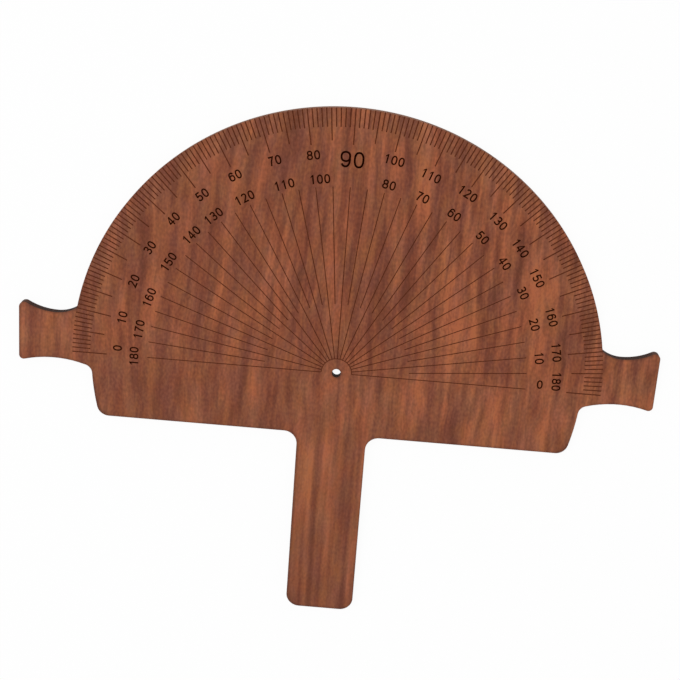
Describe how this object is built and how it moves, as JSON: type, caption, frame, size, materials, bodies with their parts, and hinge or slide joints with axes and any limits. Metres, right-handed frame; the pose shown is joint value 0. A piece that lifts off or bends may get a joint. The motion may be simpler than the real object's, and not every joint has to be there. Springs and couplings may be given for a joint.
{
  "type": "wooden protractor",
  "caption": "Half-round wooden protractor with concave grip wings at its ends, a long straight handle, a centre hole and a cut, dark-filled degree scale.",
  "frame": {"origin": "centre of the pivot hole, on the back face", "axes": "+Z out of the face that carries the scale, +Y from the hole to the 90 degree mark, +X from the hole towards the right-hand wing; the handle runs along -Y"},
  "size_m": [0.2164, 0.18, 0.003],
  "materials": {
    "core_ply": "dark, cut edge browned by heat",
    "face_ply": "satin red-brown veneer, grain along the handle",
    "back_ply": "satin red-brown veneer, grain along the handle",
    "line_fill": "matt dark brown",
    "numeral_fill": "matt near black"
  },
  "bodies": {
    "root": {"core_board": "core_ply", "face_veneer": "face_ply", "back_veneer": "back_ply", "degree_marks": "line_fill", "five_degree_marks": "line_fill", "ten_degree_marks": "line_fill", "five_degree_spokes": "line_fill", "ten_degree_spokes": "line_fill", "outer_numerals": "numeral_fill", "inner_numerals": "numeral_fill", "right_angle_numeral": "numeral_fill"}
  },
  "joints": []
}
